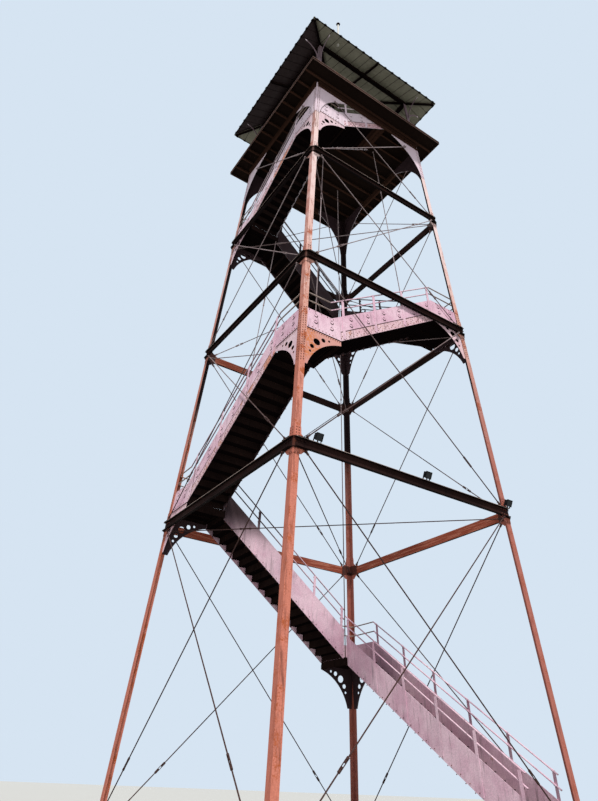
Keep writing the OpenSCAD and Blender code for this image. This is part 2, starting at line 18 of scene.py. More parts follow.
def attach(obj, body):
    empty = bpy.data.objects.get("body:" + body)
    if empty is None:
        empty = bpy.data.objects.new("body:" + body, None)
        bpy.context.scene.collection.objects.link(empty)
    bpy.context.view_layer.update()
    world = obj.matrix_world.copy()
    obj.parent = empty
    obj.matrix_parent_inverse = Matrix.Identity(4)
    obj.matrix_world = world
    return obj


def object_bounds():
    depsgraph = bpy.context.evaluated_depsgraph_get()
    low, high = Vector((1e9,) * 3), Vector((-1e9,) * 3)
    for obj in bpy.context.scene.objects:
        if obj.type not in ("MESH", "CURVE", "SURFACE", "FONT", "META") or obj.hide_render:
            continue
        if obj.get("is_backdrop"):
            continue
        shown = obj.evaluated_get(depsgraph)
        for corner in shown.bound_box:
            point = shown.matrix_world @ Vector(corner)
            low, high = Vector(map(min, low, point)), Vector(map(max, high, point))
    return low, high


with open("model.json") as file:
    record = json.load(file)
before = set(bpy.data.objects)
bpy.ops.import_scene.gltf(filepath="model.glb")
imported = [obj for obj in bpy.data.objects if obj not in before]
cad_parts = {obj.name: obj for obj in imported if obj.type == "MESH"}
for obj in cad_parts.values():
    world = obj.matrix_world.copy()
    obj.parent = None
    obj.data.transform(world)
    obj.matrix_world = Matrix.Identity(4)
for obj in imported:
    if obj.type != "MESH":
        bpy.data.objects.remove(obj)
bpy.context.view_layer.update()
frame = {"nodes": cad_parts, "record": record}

nodes = frame["nodes"]

# %% [markdown]
# ## The tower's measures
# New pieces have to sit exactly on the CAD. They could be measured off its meshes, but a mesh doesn't say
# why a corner is where it is. So the few rules that shape the tower are written down again, in metres.
# Every face leans in by the same amount, and one function gives the half width at any height.

# %% Measures
FOOT_HALF = 3.776       # half the width at the ground
LEAN = 0.067            # how far a face comes in for each metre of height
TILT = math.atan(LEAN)
RISER = 0.175
RISERS = [24, 19, 17, 15, 14, 14, 13, 10]
FLIGHTS = len(RISERS)
FLOORS = [RISER * sum(RISERS[:i]) for i in range(FLIGHTS + 1)]
DECK_Z = FLOORS[-1]
RINGS = [7.1, 12.98, 17.85]
LEG_T, PLATE_T, GUSSET_T = 0.016, 0.010, 0.012
PLATE_IN = LEG_T + PLATE_T      # the inner side of the outer side plates
LANDING, STAIR_W = 1.2, 1.1
STRUT_D, STRUT_W, STRUT_T = 0.23, 0.075, 0.010
STRUT_RISE = math.sin(TILT) * (GUSSET_T + STRUT_W)
DECK_T, JOIST_D = 0.03, 0.11    # over the beams, which have the struts' section
BEAM_Z = DECK_Z - DECK_T - JOIST_D - STRUT_D / 2 - STRUT_RISE


def half(z):
    """Half of the tower's width at a height."""
    return FOOT_HALF - LEAN * z


print("floors:", [round(z, 2) for z in FLOORS])

# %% [markdown]
# ## Colours
# Shaders want linear numbers, which nobody can picture. So colours are written from 0 to 255, as they look
# in daylight, and one function turns them into linear ones.


# %% Colour helper
def paint(r, g, b):
    """Linear colour from the 0 to 255 values seen in daylight."""
    return tuple(((c / 255 + 0.055) / 1.055) ** 2.4 if c > 10 else c / 255 / 12.92 for c in (r, g, b)) + (1.0,)


print("mid grey is", round(paint(128, 128, 128)[0], 3), "in linear light")

# %% [markdown]
# ## Nodes by code
# A material can be wired by hand in the node editor. Fifteen that share a recipe are quicker and more
# even when code does the wiring. This class adds nodes to a tree, fills their sockets and joins them, for
# the paints and later for the sky.


# %% Nodes
class Nodes:
    def __init__(self, tree):
        self.tree = tree

    def node(self, kind, **settings):
        n = self.tree.nodes.new("ShaderNode" + kind)
        for name, value in settings.items():
            setattr(n, name, value)
        return n

    def feed(self, n, **values):
        """Fills a node's sockets, each by a constant or by another node's output.

        A socket goes by its name, or by i0, i1 and so on where names repeat.
        """
        for name, value in values.items():
            socket = n.inputs[int(name[1:]) if name[0] == "i" else name.replace("_", " ")]
            if isinstance(value, bpy.types.NodeSocket):
                self.tree.links.new(value, socket)
            else:
                socket.default_value = value
        return n

    def maths(self, op, a, b=0.0):
        return self.feed(self.node("Math", operation=op), i0=a, i1=b).outputs[0]


# %% [markdown]
# ## A coat of paint
# A coat is a material with one short method for each kind of node that it needs. Every pattern reads
# Object coordinates: all pieces share the tower's own origin, so a stain can run from one plate on to the
# next.


# %% A coat
class Coat(Nodes):
    def __init__(self, name):
        self.mat = bpy.data.materials.new(name)
        self.mat.use_nodes = True
        super().__init__(self.mat.node_tree)
        self.shader = self.tree.nodes["Principled BSDF"]
        self.coords = self.node("TexCoord").outputs["Object"]

    def noise(self, scale, detail=3.0, rough=0.55, stretch=None):
        """Cloudy values round a half. A high stretch makes them narrow along an axis."""
        where = self.coords
        if stretch:
            where = self.feed(self.node("Mapping"), Vector=where, Scale=stretch).outputs["Vector"]
        n = self.feed(self.node("TexNoise"), Vector=where, Scale=scale, Detail=detail, Roughness=rough)
        return n.outputs["Fac"]

    def span(self, value, low, high, to_low=0.0, to_high=1.0):
        """Eases a value from one range into another."""
        n = self.node("MapRange", interpolation_type="SMOOTHSTEP")
        self.feed(n, Value=value, From_Min=low, From_Max=high, To_Min=to_low, To_Max=to_high)
        return n.outputs["Result"]

    def vector(self, op, a, b=(0, 0, 0)):
        n = self.feed(self.node("VectorMath", operation=op), i0=a, i1=b)
        return n.outputs["Value" if op in ("DISTANCE", "DOT_PRODUCT") else "Vector"]

    def times(self, *values):
        out = values[0]
        for v in values[1:]:
            out = self.maths("MULTIPLY", out, v)
        return out

    def inverse(self, value):
        return self.maths("SUBTRACT", 1.0, value)

    def mix(self, fac, a, b):
        return self.feed(self.node("Mix", data_type="RGBA"), Factor=fac, A=a, B=b).outputs["Result"]

    def show(self, colour):
        """Makes a colour the one that is seen, and keeps it for the next layer."""
        self.feed(self.shader, Base_Color=colour)
        self.colour = colour


# %% [markdown]
# ## Where on the tower a surface is
# Old paint looks different by height and by side, and faces that look down or inwards lie in shade, which
# the coats paint in. Such zones could be painted on each piece by hand, or given as separate materials.
# Masks worked out from a place and its normal do it for all pieces at once, and they have soft edges. A
# mask runs from 0 to 1.


# %% Masks
class TowerCoat(Coat):
    INWARDS = (-0.55, -0.25)        # from here to there, a surface counts as facing the axis

    def axis(self, vector, k):
        return self.feed(self.node("SeparateXYZ"), i0=vector).outputs[k]

    def normal(self):
        return self.node("NewGeometry").outputs["Normal"]

    def place(self, k):
        return self.axis(self.coords, k)

    def facing(self, k):
        """A surface's direction along an axis of the tower, from -1 to 1."""
        return self.axis(self.normal(), k)

    def facing_back(self, k, low, high):
        """1 where a surface looks the other way along an axis: left for 0, front for 1."""
        return self.span(self.times(self.facing(k), -1.0), low, high)

    def above(self, low, high):
        return self.span(self.place(2), low, high)

    def below(self, low, high, most=1.0):
        return self.span(self.place(2), low, high, most, 0.0)

    def near(self, point, radius):
        """1 at a point of the tower, falling to 0 at a radius."""
        return self.span(self.vector("DISTANCE", self.coords, point), 0.0, radius, 1.0, 0.0)

    def facing_in(self):
        """1 where a surface looks at the tower's axis, 0 where it looks out."""
        outwards = self.vector("NORMALIZE", self.vector("MULTIPLY", self.coords, (1, 1, 0)))
        return self.span(self.vector("DOT_PRODUCT", self.normal(), outwards), *self.INWARDS, 1.0, 0.0)

    def behind_face(self, low, high):
        """0 at the tower's outer faces, 1 at places further in than a distance."""
        side = self.maths("MAXIMUM", self.maths("ABSOLUTE", self.place(0)), self.maths("ABSOLUTE", self.place(1)))
        edge = self.maths("SUBTRACT", FOOT_HALF, self.times(self.place(2), LEAN))
        return self.span(self.maths("SUBTRACT", edge, side), low, high)


# %% [markdown]
# ## Weathered paint
# Red lead paint on old steel fades to pink where the sun reaches it and rusts to orange where water sits.
# The coat also paints in the shade of faces that look down or in at the axis. One recipe serves every
# finish. Large and middling noise mix a main and a faded colour, noise drawn out along Z makes the runs
# below joints, a sharper one places the rust, and the masks darken what faces down or in, as painted
# shade. Roughness and a fine bump follow the same noise, so rust is also dull and raised. A photo texture
# would show more detail, but it would have to be fitted to each of the tower's plates, and it would repeat.

# %% The paint recipe
CLOUDS, BLOTCHES, GRAIN = 0.7, 4.0, 38.0        # sizes of noise, in waves to the metre
RUNS = (14.0, 14.0, 0.9)
RUST_HEIGHT = 0.002


def weathered(name, main, faded, rust, dark, rust_from=0.62, under=0.8, rough=(0.7, 0.92), gloss=0.25, streaks=0.45,
              inner=0.0, inner_from=None, shade=None, low_colour=None, low_z=None, top_colour=None):
    """A coat of old paint.

    rust_from: the noise at which rust begins, so a lower one makes more rust.
    under, inner: how much painted shade darkens faces that look down, or in at the tower's axis.
    inner_from: heights over which the painted shade on inner faces, of the colour shade, comes in.
    low_colour, low_z: a colour for the tower's foot, and the heights over which it goes.
    """
    c = TowerCoat(name)
    big, mid, fine = c.noise(CLOUDS), c.noise(BLOTCHES), c.noise(GRAIN, 4.0)
    runs = c.noise(1.0, 4.0, 0.6, stretch=RUNS)
    colour = c.mix(c.span(c.maths("ADD", big, c.times(mid, 0.5)), 0.55, 0.95), main, faded)
    if low_colour:
        height = c.maths("ADD", c.place(2), c.times(c.maths("SUBTRACT", mid, 0.5), 3.0))
        colour = c.mix(c.span(height, *low_z, 1.0, 0.0), colour, low_colour)
    # Faces that look up get top_colour: lighter tops, partly wear and partly painted light.
    if top_colour:
        colour = c.mix(c.span(c.facing(2), 0.5, 0.9), colour, top_colour)
    colour = c.mix(c.times(c.span(runs, 0.52, 0.74), streaks), colour, dark)
    where = c.maths("ADD", c.times(mid, 0.65), c.times(fine, 0.35))
    rusty = c.span(where, rust_from, rust_from + 0.1)
    colour = c.mix(rusty, colour, rust)
    # Painted shade: faces that look down take the dark colour.
    colour = c.mix(c.span(c.facing(2), -0.7, -0.2, under, 0.0), colour, dark)
    # Painted shade: faces that look in at the tower's axis take the shade colour.
    if inner:
        turned = c.times(c.facing_in(), inner)
        if inner_from:
            turned = c.times(turned, c.above(*inner_from))
        colour = c.mix(turned, colour, shade or dark)
    c.show(c.mix(c.span(fine, 0.35, 0.65, 0.0, 0.2), colour, dark))
    c.feed(c.shader, Roughness=c.span(where, 0.35, 0.7, *rough), Specular_IOR_Level=gloss)
    raised = c.feed(c.node("Bump"), Distance=RUST_HEIGHT, Strength=0.5,
                    Height=c.maths("ADD", fine, c.times(rusty, 0.6)))
    c.feed(c.shader, Normal=raised.outputs["Normal"])
    return c


# %% [markdown]
# ## One coat for each slot
# The CAD record names ten slots, and each gets one coat. The legs are salmon and rustiest. The plates of
# stairs and brackets are chalky pink outside and nearly black inside, where their shade is painted in.
# Struts, treads and joists are a brown so dark that it holds dirt and painted shade together, and their
# tops are lighter, partly from wear and partly as painted light.

# %% Coats of the CAD's slots
RUST = paint(186, 104, 62)
DUSTY = (0.9, 1.0)
LEG_SHADE_Z = (9.4, 11.4)       # under this the inner sides of the legs are still red
LOW_STAIR_Z = (6.6, 7.8)        # under this both sides of the stair plates are pink
# In PINK, dark is the painted shade of faces that look down, and shade that of faces that look in.
PINK = dict(rust=RUST, dark=paint(32, 21, 24), rust_from=0.66, inner=1.0, shade=paint(54, 37, 42))
coats = {
    # The legs' inner faces above LEG_SHADE_Z get painted shade, as do all faces that look down.
    "leg_paint": weathered("leg_salmon", paint(234, 178, 162), paint(246, 210, 202), paint(190, 100, 62),
                           paint(70, 38, 32), rust_from=0.51, under=0.6, inner=1.0, inner_from=LEG_SHADE_Z,
                           shade=paint(32, 22, 26), low_colour=paint(214, 132, 112), low_z=(6.0, 15.0),
                           streaks=0.7, gloss=0.15),
    # Struts and treads: a near-black base of dirt and painted shade, with lighter tops from top_colour.
    "strut_paint": weathered("strut_brown", paint(36, 21, 19), paint(52, 33, 30), paint(84, 44, 30), paint(9, 6, 7),
                             under=0.9, gloss=0.05, top_colour=paint(176, 150, 140)),
    # The rods darken towards the foot: painted shade for the rods that the sun doesn't reach.
    "rod_paint": weathered("rod_brown", paint(150, 130, 132), paint(190, 174, 176), paint(120, 70, 50),
                           paint(44, 32, 32), under=0.6, gloss=0.1, low_colour=paint(74, 52, 48), low_z=(6.0, 17.0)),
    "dark_paint": weathered("tread_brown", paint(27, 19, 18), paint(38, 27, 25), paint(66, 40, 30), paint(11, 7, 8),
                            rust_from=0.63, under=0.95, rough=DUSTY, gloss=0.0, top_colour=paint(104, 82, 76)),
    "side_paint": weathered("side_pink", paint(226, 180, 201), paint(246, 212, 227), inner_from=LOW_STAIR_Z, **PINK),
    "bracket_paint": weathered("bracket_pink", paint(226, 188, 202), paint(242, 214, 222), **PINK),
    "deck_board": weathered("deck_board", paint(52, 38, 34), paint(70, 54, 48), paint(64, 40, 30), paint(26, 19, 16),
                            rust_from=0.66, under=1.0, rough=DUSTY, gloss=0.0, top_colour=paint(120, 104, 90)),
    "roof_metal": weathered("roof_grey", paint(134, 132, 116), paint(152, 150, 134), paint(96, 84, 66),
                            paint(52, 54, 46), rust_from=0.68, under=0.3),
    "pipe_paint": weathered("pipe_white", paint(232, 230, 224), paint(242, 242, 238), paint(150, 130, 110),
                            paint(120, 118, 112), rust_from=0.7, under=0.3),
    "lamp_case": weathered("lamp_black", paint(20, 20, 22), paint(32, 32, 34), paint(60, 44, 36), paint(10, 10, 11),
                           rust_from=0.7, under=0.3, rough=(0.35, 0.6), gloss=0.1),
}
print("coats for slots:", len(coats))

# %% [markdown]
# ## Coats for small things
# Rivets lose their paint first, so they are browner than their plate, and inside they get painted shade.
# The rails are worn by hands and rain to a grey brown, and the same coat paints a highlight on the struts'
# lips. A paler brown marks the deck's rim, and a dark coat marks the laps of the side plates and paints
# the shadows under the bosses. The same recipe makes them all.

# %% Coats of small pieces
LIP = weathered("lip_wear_and_highlight", paint(146, 126, 118), paint(178, 162, 154), RUST, paint(90, 66, 60), 0.6, 0.3)
EDGE = weathered("edge_pale", paint(104, 80, 74), paint(140, 112, 104), RUST, paint(60, 40, 38), 0.6, 0.3)
RIVET = weathered("rivet_brown", paint(120, 68, 56), paint(160, 104, 92), RUST, paint(60, 36, 32), 0.56, 0.6,
                  inner=0.9)
SHADOW_AND_GRIME = weathered("shadow_and_grime", paint(70, 46, 50), paint(92, 64, 68), RUST, paint(30, 20, 22), 0.7, inner=0.9)
STRING = weathered("string_rusty", paint(226, 182, 194), paint(242, 212, 222), paint(196, 126, 80), paint(90, 58, 54),
                   0.56, 0.75, inner=1.0, inner_from=LOW_STAIR_Z, streaks=0.7)
print("coats:", [coat.mat.name for coat in (LIP, EDGE, RIVET, SHADOW_AND_GRIME, STRING)])

# %% [markdown]
# ## Rust on the strings
# The string is the stiff lower band of a flight's side. Water from the treads runs down its back, so it
# rusts in small specks all over, and on the left face of the tower in whole patches. Both are layers over
# the coat: a mask times a strength, mixed in front of the shader's colour.

# %% Specks and patches
speck = STRING.times(STRING.span(STRING.noise(24.0, 4.0, 0.6), 0.55, 0.62), 0.65)
STRING.show(STRING.mix(speck, STRING.colour, paint(142, 88, 66)))
patch = STRING.times(STRING.facing_back(0, 0.5, 0.9), STRING.span(STRING.noise(1.1, 2.0), 0.56, 0.62), 0.75)
STRING.show(STRING.mix(patch, STRING.colour, paint(206, 134, 96)))
print("string layers: specks, patches")

# %% [markdown]
# ## The legs' sides
# High up, sun and rain have bleached the legs nearly white. Their left faces get less sun, so a darker
# brown paints their shade in. Thin lines of rust follow the flange down, the legs on the right are dull,
# and dark bands show where the rings' collars touch. All of it belongs to the lit side, so each mask is
# multiplied by one that leaves the painted shade of the inside alone.

# %% Layers on the legs
c = coats["leg_paint"]
COLLAR_HALF, COLLAR_FADE = 0.15, 0.02
lit = c.inverse(c.times(c.facing_in(), c.above(*LEG_SHADE_Z)))
c.show(c.mix(c.times(lit, c.above(13.0, 17.0), 0.75), c.colour, paint(248, 226, 226)))
# Painted shade: the left faces, which the sun reaches less, turn a darker brown.
left = c.times(lit, c.facing_back(0, 0.4, 0.9), c.span(c.noise(3.0), 0.3, 0.7, 0.35, 0.85))
c.show(c.mix(left, c.colour, paint(184, 110, 94)))
line = c.times(lit, c.span(c.noise(1.0, 5.0, 0.7, (22.0, 22.0, 1.2)), 0.53, 0.68), 0.7)
c.show(c.mix(line, c.colour, paint(150, 76, 56)))
dull = c.times(lit, c.span(c.place(0), 0.0, 0.5), c.below(9.0, 15.0, 0.55))
c.show(c.mix(dull, c.colour, paint(146, 88, 82)))
for ring in RINGS:
    low, high = ring - COLLAR_HALF, ring + COLLAR_HALF
    collar = c.times(c.above(low, low + COLLAR_FADE), c.below(high, high + COLLAR_FADE), 0.9)
    c.show(c.mix(collar, c.colour, paint(70, 40, 34)))
print("leg layers: bleached, left, line, dull,", len(RINGS), "collars")

# %% [markdown]
# ## The stairs' shade
# Side plates that hang further in than the outer face stand in the shade of the steps, and that shade is
# painted into them. The plates near the deck are the palest, and under the roof the posts get painted shade
# again. The light in the scene does part of this, and the painted shade makes it as deep as in hard sun.

# %% Layers on the side plates
c = coats["side_paint"]
# Painted shade on plates that hang behind the outer face, between the lower flights and the deck.
deep = c.times(c.behind_face(0.45, 0.7), c.below(21.6, 22.0), c.above(6.8, 7.8))
c.show(c.mix(deep, c.colour, paint(54, 39, 43)))
pale = c.times(c.above(16.0, 20.0), c.inverse(c.facing_in()), 0.6)
c.show(c.mix(pale, c.colour, paint(238, 228, 238)))
# Painted shade on the posts under the roof.
room = c.times(c.above(22.2, 22.5), c.behind_face(-0.6, -0.5), 0.85)
c.show(c.mix(room, c.colour, paint(92, 70, 80)))
print("side plate layers: deep, pale, room")

# %% [markdown]
# ## The rusty bracket
# The third landing's bracket is the one that everybody sees. Its front plate faces the rain: it is salmon
# and not pink, and orange rust spreads over it from the leg. A mask by distance from the leg, roughened by
# noise, gives the patch its ragged edge, and a finer noise lets specks of paint show through.

# %% Layers on the brackets
c = coats["bracket_paint"]
RUSTY_Z = 10.0
corner = -half(RUSTY_Z + 0.2)
front = c.times(c.facing_back(1, 0.5, 0.9), c.inverse(c.facing_in()))
c.show(c.mix(c.times(front, c.below(10.6, 13.0), 0.8), c.colour, paint(208, 140, 122)))
spread = c.maths("ADD", c.near((corner, corner, RUSTY_Z), 1.0), c.times(c.noise(4.0), 0.6))
specks = c.span(c.noise(17.0, 4.0, 0.65), 0.40, 0.56)
c.show(c.mix(c.times(front, c.span(spread, 0.55, 0.95), specks, 0.85), c.colour, paint(208, 122, 62)))
print("bracket layers: salmon front, rust at", (round(corner, 2), round(corner, 2), RUSTY_Z))

# %% [markdown]
# ## Joists, struts and the roof's underside
# The joists under the deck are browner than the steps. On the inner side of the lowest ring, and at the
# left end of the middle ring, the struts show a streaky red brown where the sun falls on them: painted
# light, against the painted shade of their near-black coat. The roof's left slope gets no light from
# below, so its underside is painted in shade. Masks by height and side pick each of them out of its slot.

# %% Layers on joists, struts and roof
c = coats["dark_paint"]
c.show(c.mix(c.times(c.above(21.3, 21.7), c.below(22.1, 22.3), 0.4), c.colour, paint(80, 55, 44)))

c = coats["strut_paint"]
# Painted light: the struts' red brown on lit inner faces, low down and at the middle ring's left end.
lowest = c.times(c.facing_in(), c.below(7.6, 8.2))
at_left = c.span(c.place(0), -1.6, -0.6, 0.7, 0.0)
middle_left = c.times(c.facing_in(), c.above(12.0, 12.4), c.below(13.6, 14.0), at_left)
sunlit_red = c.mix(c.span(c.noise(1.0, 4.0, 0.6, (1.2, 1.2, 26.0)), 0.46, 0.62), paint(150, 76, 58), paint(186, 118, 98))
c.show(c.mix(c.maths("MAXIMUM", lowest, middle_left), c.colour, sunlit_red))

c = coats["roof_metal"]
# Painted shade on the underside of the roof's left slope.
slope_shade = c.times(c.span(c.facing(0), 0.2, 0.4), c.span(c.facing(2), -0.5, -0.2, 1.0, 0.0))
c.show(c.mix(slope_shade, c.colour, paint(40, 29, 31)))
print("layers on joists, struts and roof: 3")

# %% [markdown]
# ## Lamp glass, and giving out the coats
# The lamps' glass is dirty and dark by day, so it is a smooth grey coat and no clear glass, which would
# render slowly for nothing. Then every CAD piece gets the coat of its slot.

# %% Glass, and the coats on the CAD
GLASS = Coat("lamp_glass")
GLASS.show(GLASS.mix(GLASS.span(GLASS.noise(9.0), 0.3, 0.7), paint(24, 27, 30), paint(40, 44, 47)))
GLASS.feed(GLASS.shader, Roughness=GLASS.span(GLASS.noise(40.0), 0.3, 0.7, 0.3, 0.5), Specular_IOR_Level=0.2)

slots = {s["node"]: s["material_slot"] for s in frame["record"]["subparts"]}
for name, obj in nodes.items():
    obj.data.materials.clear()
    obj.data.materials.append(coats[slots[name]].mat)
print("CAD pieces with a coat:", len(slots))

# %% [markdown]
# ## A way to place things on a leaning face
# Rivets, bolts and strips all lie on the four leaning faces. Each could be turned by hand, but one frame
# does for all: X runs along a face, Y up its slope and Z straight out of it. A small shape is made once,
# and each copy is moved by its frame and joined to one mesh. So thousands of rivets are one piece, with
# the tower's own origin as the CAD's pieces have.


# %% Frames
def side_turn(side):
    """Turns what is made for the front face on to side 0 to 3: front, right, back, left."""
    return Matrix.Rotation(math.radians(90 * side), 4, "Z")


def on_face(side, x, z, out=0.0):
    """Frame at a place on a face, a distance out of the plane of the legs' outer sides."""
    c, s = math.cos(TILT), math.sin(TILT)
    slope = Matrix(((1, 0, 0, x), (0, s, -c, -half(z) - out * c), (0, c, s, z + out * s), (0, 0, 0, 1)))
    return side_turn(side) @ slope


def both_flanges(leg, z, inwards):
    """Where a line at a distance from a leg's corner lies on its two faces: (side, x)."""
    return ((leg, inwards - half(z)), (leg + 3, half(z) - inwards))


TURN_IN = Matrix.Rotation(math.pi, 4, "Y")
print("the front face at the deck:", [round(v, 3) for v in on_face(0, 0, DECK_Z).translation])


# %% Shapes in a frame
def stamp(bm, shape, place):
    """Adds a copy of a small mesh at a place."""
    copy = shape.copy()
    copy.transform(place)
    bm.from_mesh(copy)
    bpy.data.meshes.remove(copy)


def block(bm, place, low, high):
    """Adds a box between two corners, in the frame of a place."""
    low, high = Vector(low), Vector(high)
    middle, size = (low + high) / 2, high - low
    bmesh.ops.create_cube(bm, size=1, matrix=place @ Matrix.Translation(middle) @ Matrix.Diagonal((*size, 1)))


def tube(bm, a, b, radius, sides=8):
    """Adds a closed round bar between two points."""
    a, b = Vector(a), Vector(b)
    turn = (b - a).to_track_quat("Z", "Y").to_matrix().to_4x4()
    bmesh.ops.create_cone(bm, cap_ends=True, segments=sides, radius1=radius, radius2=radius, depth=(b - a).length,
                          matrix=Matrix.Translation((a + b) / 2) @ turn)


def steps(low, high, gap):
    """Even places from low to high, about a gap apart."""
    n = max(1, round((high - low) / gap))
    return [low + (high - low) * k / n for k in range(n + 1)]


print("rivets on a metre at 75 mm:", len(steps(0, 1, 0.075)))


# %% Finishing a piece
def as_mesh(name, bm):
    mesh = bpy.data.meshes.new(name)
    bm.to_mesh(mesh)
    bm.free()
    return mesh


def finished(name, bm, slot, coat=None, smooth=False):
    """Turns a bmesh into a piece of the tower, in the coat of its slot or one of its own."""
    mesh = as_mesh(name, bm)
    mesh.materials.append((coat or coats[slot]).mat)
    if smooth:
        mesh.shade_smooth()
    obj = bpy.data.objects.new(name, mesh)
    bpy.context.scene.collection.objects.link(obj)
    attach(obj, "root")
    print(name, sum(len(p.vertices) - 2 for p in mesh.polygons), "triangles")


# %% [markdown]
# ## The fasteners
# A rivet's head is a dome, and a nut is a six-sided prism on a washer. A real dome would need a hundred
# faces. There are thousands of heads, each a pixel or two wide, so each is a short eight-sided stub that
# narrows to its top: it reads as a dome and has ten faces. A cone between two circles makes all of them,
# its foot sunk a little into the plate so that no gap shows.


# %% Small shapes
def stub(name, sides, r0, r1, height, sunk=0.002):
    bm = bmesh.new()
    bmesh.ops.create_cone(bm, cap_ends=True, segments=sides, radius1=r0, radius2=r1, depth=height + sunk,
                          matrix=Matrix.Translation((0, 0, (height - sunk) / 2)))
    return as_mesh(name, bm)


rivet = stub("rivet", 8, 0.016, 0.009, 0.012)
nut = stub("nut", 6, 0.026, 0.024, 0.020)
stud = stub("stud", 8, 0.014, 0.012, 0.085)
washer = stub("washer", 8, 0.036, 0.036, 0.005)
print("faces of a rivet:", len(rivet.polygons))

# %% [markdown]
# ## Rivets on the legs
# The tower is riveted, not welded. Wherever a bracket, parapet or gusset meets a leg, two rows of heads
# follow the leg's flange, the second row nearly half a step higher. An array modifier would make one row,
# but the rows start and stop at every joint, and a loop over the joints says that more plainly.

# %% Rivet rows on the legs
LEG_ROWS = (0.045, 0.115)
LEG_PITCH, ROW_SHIFT = 0.075, 0.03
JOINT_DOWN, JOINT_UP = 1.12, 0.56       # how far a landing's plates reach along a leg
UNDER_RING, OVER_RING = (-0.24, -0.15, 0.08), (0.17, 0.39, LEG_PITCH)       # from, to, gap


def flight_face(i):
    """The side that a flight climbs. Its upper landing is at the leg where the next side begins."""
    return (i + 1) % 4


heads = bmesh.new()
for j in range(1, FLIGHTS):
    for row, a in enumerate(LEG_ROWS):
        for z in steps(FLOORS[j] - JOINT_DOWN, FLOORS[j] + JOINT_UP, LEG_PITCH):
            z += row * ROW_SHIFT
            for side, x in both_flanges(flight_face(j), z, a):
                stamp(heads, rivet, on_face(side, x, z))
for ring in RINGS:
    for leg in range(4):
        for a in LEG_ROWS:
            for up in steps(*UNDER_RING) + steps(*OVER_RING):
                for side, x in both_flanges(leg, ring + up, a):
                    stamp(heads, rivet, on_face(side, x, ring + up, GUSSET_T))
finished("leg_rivets", heads, "leg_paint", RIVET)

# %% [markdown]
# ## Brackets and the angles over them
# A bracket plate carries the landing. It is riveted to an angle iron along its top, and the row of heads
# shows just under the floor. The angle stands behind the plate and covers the fit between plate and floor,
# through which the sky would show as a bright line. Its near-black paint, seen through the fit, is the
# painted shade of that gap. It is one block for each plate.

# %% Bracket rivets and landing angles
ROW_DOWN, BRACKET_ROW = 0.088, (0.20, 1.16, 0.07)
ANGLE_D, ANGLE_T, ANGLE_CLEAR = 0.085, 0.005, 0.165
heads, angles = bmesh.new(), bmesh.new()
for j in range(1, FLIGHTS):
    leg, floor = flight_face(j), FLOORS[j]
    for a in steps(*BRACKET_ROW):
        for side, x in both_flanges(leg, floor - ROW_DOWN, a):
            stamp(heads, rivet, on_face(side, x, floor - ROW_DOWN, -LEG_T))
    far = LANDING - 0.005
    for side, corner, x0, x1 in ((leg, -half(floor), ANGLE_CLEAR, far), (leg + 3, half(floor), -far, -ANGLE_CLEAR)):
        at = on_face(side, corner, floor, -LEG_T - PLATE_T)
        block(angles, at, (x0, -ANGLE_D, -ANGLE_T), (x1, -0.002, 0.0))
finished("bracket_rivets", heads, "bracket_paint", RIVET)
finished("landing_angles", angles, "dark_paint")

# %% [markdown]
# ## Rivets on parapets and spandrels
# The parapet sheet has a close row of heads along its foot and an open one near its top. The spandrels are
# the curved plates that carry the deck's beams. They have rows down the leg, as the brackets do.

# %% Rows on parapets and spandrels
PARAPET_ROWS = ((0.03, 0.10), (0.57, 0.17))     # height over the floor, gap
PARAPET_SPAN = (0.22, 0.95)
SPANDREL_ROW = (BEAM_Z - 1.64, BEAM_Z - 0.16, 0.085)
heads = bmesh.new()
for j in range(1, FLIGHTS):
    for up, gap in PARAPET_ROWS:
        z = FLOORS[j] + up
        for a in steps(*PARAPET_SPAN, gap):
            for side, x in both_flanges(flight_face(j), z, a):
                stamp(heads, rivet, on_face(side, x, z, -LEG_T))
for leg in range(4):
    for a in LEG_ROWS:
        for z in steps(*SPANDREL_ROW):
            for side, x in both_flanges(leg, z, a):
                stamp(heads, rivet, on_face(side, x, z, GUSSET_T))
finished("plate_rivets", heads, "side_paint", RIVET)

# %% [markdown]
# ## Where a flight runs
# Each flight hangs between two side plates. The lower part of a plate is the string, which carries the
# treads, and a thinner sheet is lapped over it as a guard. Everything on them follows the line of the
# nosings, the front edges of the treads, so that line is worked out from the landings once.

# %% The line of the nosings
TOP_LANDING, GOING_0 = 1.47, 0.245


def flight_end(i):
    return half(FLOORS[i + 1]) - (TOP_LANDING if i == FLIGHTS - 1 else LANDING)


def flight_start(i):
    return flight_end(0) - (RISERS[0] - 1) * GOING_0 if i == 0 else LANDING - half(FLOORS[i])


def slope(i):
    return RISER * (RISERS[i] - 1) / (flight_end(i) - flight_start(i))


def nosing(i, x):
    """Height of the line of the nosings at a place along the face."""
    return FLOORS[i] + RISER + (x - flight_start(i)) * slope(i)


print("slopes in degrees:", [round(math.degrees(math.atan(slope(i)))) for i in range(FLIGHTS)])

# %% [markdown]
# ## Rivets at the treads
# Two heads hold each tread's end, one each riser's foot, and one the guard above. On the inner plate only
# the tread's two are seen. A frame turned half round puts the same rivet on the inner side.

# %% Tread rivets
TREAD_HEADS = ((0.05, -0.03), (0.17, -0.03))
OTHER_HEADS = ((0.02, -0.11), (0.11, 0.045))
GROUND_CLEAR = 0.03
heads = bmesh.new()
for i in range(FLIGHTS):
    side = flight_face(i)
    for k in range(1, RISERS[i]):
        x, z = flight_start(i) + (k - 1) * RISER / slope(i), FLOORS[i] + k * RISER
        for along, up in TREAD_HEADS + OTHER_HEADS:
            if z + up > GROUND_CLEAR:
                stamp(heads, rivet, on_face(side, x + along, z + up, -LEG_T))
        for along, up in TREAD_HEADS:
            stamp(heads, rivet, on_face(side, x + along, z + up, -LEG_T - STAIR_W) @ TURN_IN)
finished("tread_rivets", heads, "side_paint", RIVET)
